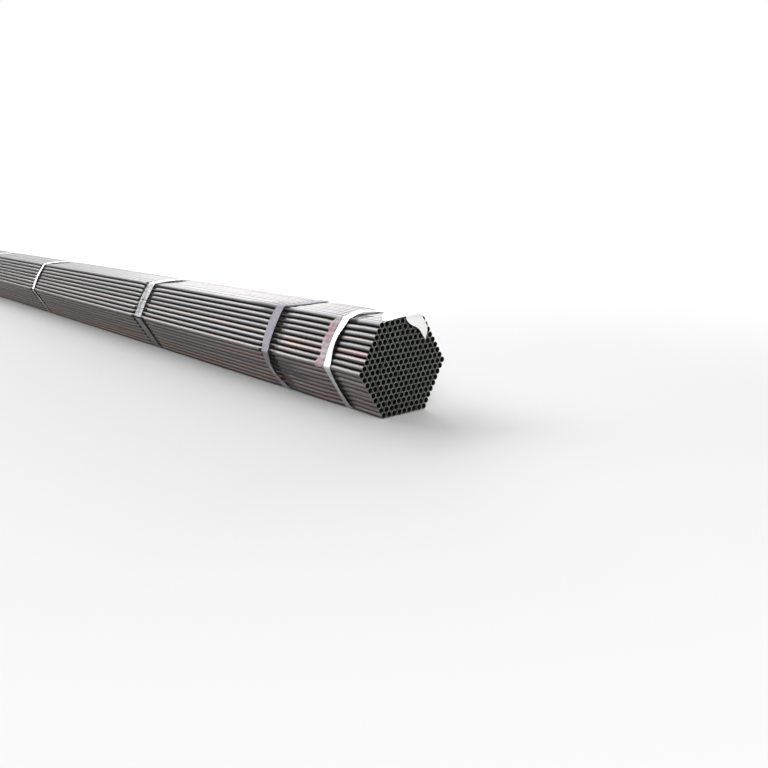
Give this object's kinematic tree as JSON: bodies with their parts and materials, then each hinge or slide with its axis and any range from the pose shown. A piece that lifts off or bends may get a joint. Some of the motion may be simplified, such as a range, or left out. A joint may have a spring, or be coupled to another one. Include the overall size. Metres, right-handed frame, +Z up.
{
  "type": "bundle of steel pipes",
  "caption": "Long hexagonal bundle of round dark steel pipes, open at both ends, held by flat steel straps and woven lifting bands, with a label and a tag.",
  "frame": {"origin": "middle of the bundle's length and width, on the level that it rests on", "axes": "+X along the pipes towards the labelled end, +Y across the bundle, +Z up"},
  "size_m": [6.0043, 0.3322, 0.291],
  "materials": {
    "pipe_steel": "dark annealed steel with an oily sheen and light rust tints",
    "strap_steel": "bright galvanised strapping",
    "seal_steel": "galvanised, crimped",
    "band_webbing": "woven polyester webbing",
    "label_paper": "thin, faded, without print",
    "tag_plastic": "plain white film"
  },
  "bodies": {
    "root": {"pipe_row_01": "pipe_steel", "pipe_row_02": "pipe_steel", "pipe_row_03": "pipe_steel", "pipe_row_04": "pipe_steel", "pipe_row_05": "pipe_steel", "pipe_row_06": "pipe_steel", "pipe_row_07": "pipe_steel", "pipe_row_08": "pipe_steel", "pipe_row_09": "pipe_steel", "pipe_row_10": "pipe_steel", "pipe_row_11": "pipe_steel", "pipe_row_12": "pipe_steel", "pipe_row_13": "pipe_steel", "pipe_row_14": "pipe_steel", "pipe_row_15": "pipe_steel", "pipe_row_16": "pipe_steel", "pipe_row_17": "pipe_steel", "strap_near_end": "strap_steel", "strap_near_pair_outer": "strap_steel", "strap_near_pair_inner": "strap_steel", "strap_middle": "strap_steel", "strap_far_pair_inner": "strap_steel", "strap_far_pair_outer": "strap_steel", "strap_far_end": "strap_steel", "seal_near_end": "seal_steel", "seal_near_pair_outer": "seal_steel", "seal_near_pair_inner": "seal_steel", "seal_middle": "seal_steel", "seal_far_pair_inner": "seal_steel", "seal_far_pair_outer": "seal_steel", "seal_far_end": "seal_steel", "lifting_band_near": "band_webbing", "lifting_band_far": "band_webbing", "label": "label_paper", "tag": "tag_plastic"}
  },
  "joints": []
}
